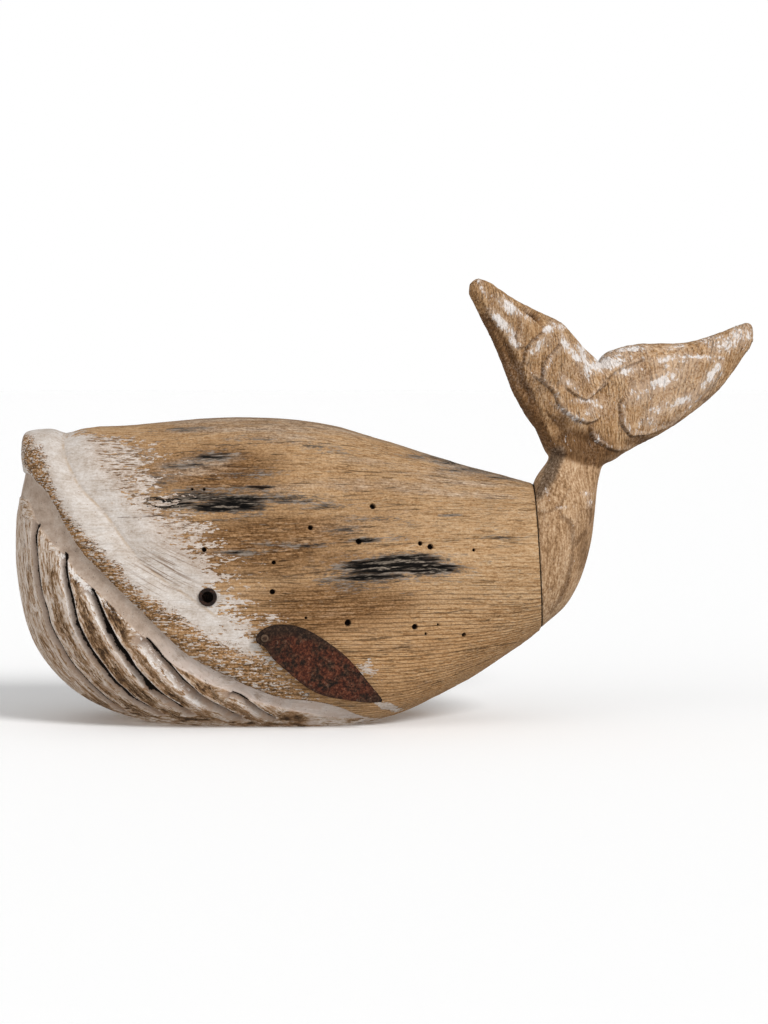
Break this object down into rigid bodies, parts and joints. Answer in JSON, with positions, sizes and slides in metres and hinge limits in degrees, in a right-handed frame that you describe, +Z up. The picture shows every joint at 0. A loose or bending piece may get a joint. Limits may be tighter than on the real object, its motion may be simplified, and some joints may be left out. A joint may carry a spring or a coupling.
{
  "type": "whale figurine",
  "caption": "Carved reclaimed-wood whale ornament with raised flukes, whitewashed throat grooves, iron stud eyes and rusted sheet-metal fins that swivel on nails.",
  "frame": {"origin": "centre of the flat resting face under the belly, on the body's plane of symmetry", "axes": "+X from the head towards the tail, +Y towards the whale's right flank, +Z up"},
  "size_m": [0.3039, 0.1042, 0.1789],
  "materials": {
    "body_wood": "weathered, wire-brushed, partly whitewashed, matt",
    "tail_wood": "brushed, with traces of whitewash, matt",
    "dowel_wood": "plain turned dowel",
    "eye_iron": "blackened, slightly worn rim",
    "fin_steel": "rusted all over, matt",
    "nail_steel": "rusted, matt"
  },
  "bodies": {
    "whale": {"body": "body_wood", "tail": "tail_wood", "tail_dowel_upper": "dowel_wood", "tail_dowel_lower": "dowel_wood", "left_eye": "eye_iron", "right_eye": "eye_iron", "left_fin_nail": "nail_steel", "right_fin_nail": "nail_steel"},
    "left_fin": {"left_fin": "fin_steel"},
    "right_fin": {"right_fin": "fin_steel"}
  },
  "joints": [
    {"name": "left_fin_swivel", "type": "hinge", "parent": "whale", "child": "left_fin", "pos_m": [0.00524, -0.04973, 0.03805], "axis": [0.1698, -0.9769, -0.1296], "range_deg": [-8, 45]},
    {"name": "right_fin_swivel", "type": "hinge", "parent": "whale", "child": "right_fin", "pos_m": [0.00524, 0.04973, 0.03805], "axis": [-0.1698, -0.9769, 0.1296], "range_deg": [-8, 45]}
  ]
}
